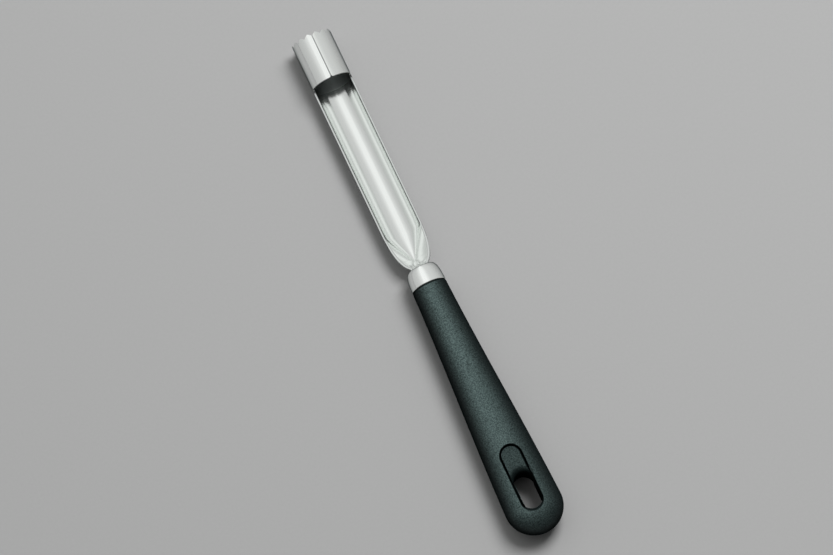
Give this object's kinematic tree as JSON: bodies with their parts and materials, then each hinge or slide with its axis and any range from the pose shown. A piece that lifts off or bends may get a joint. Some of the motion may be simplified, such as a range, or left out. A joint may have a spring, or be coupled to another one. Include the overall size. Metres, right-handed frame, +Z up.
{
  "type": "apple corer",
  "caption": "Hand-held apple corer: serrated rolled-steel coring tube with an open half-round trough, a domed steel ferrule and a tapered black plastic handle with a slotted hanging hole.",
  "frame": {"origin": "under the middle of the tool's length, on the plane it rests on when laid down with the trough up", "axes": "+Y along the tool from the handle's end to the teeth, +Z up, out of the open side of the trough, +X across"},
  "size_m": [0.0242, 0.2274, 0.017],
  "materials": {
    "blade_steel": "polished stainless sheet",
    "ferrule_steel": "bright polished stainless",
    "handle_plastic": "fine matt spark-eroded texture"
  },
  "bodies": {
    "root": {"coring_blade": "blade_steel", "ferrule": "ferrule_steel", "handle": "handle_plastic"}
  },
  "joints": []
}
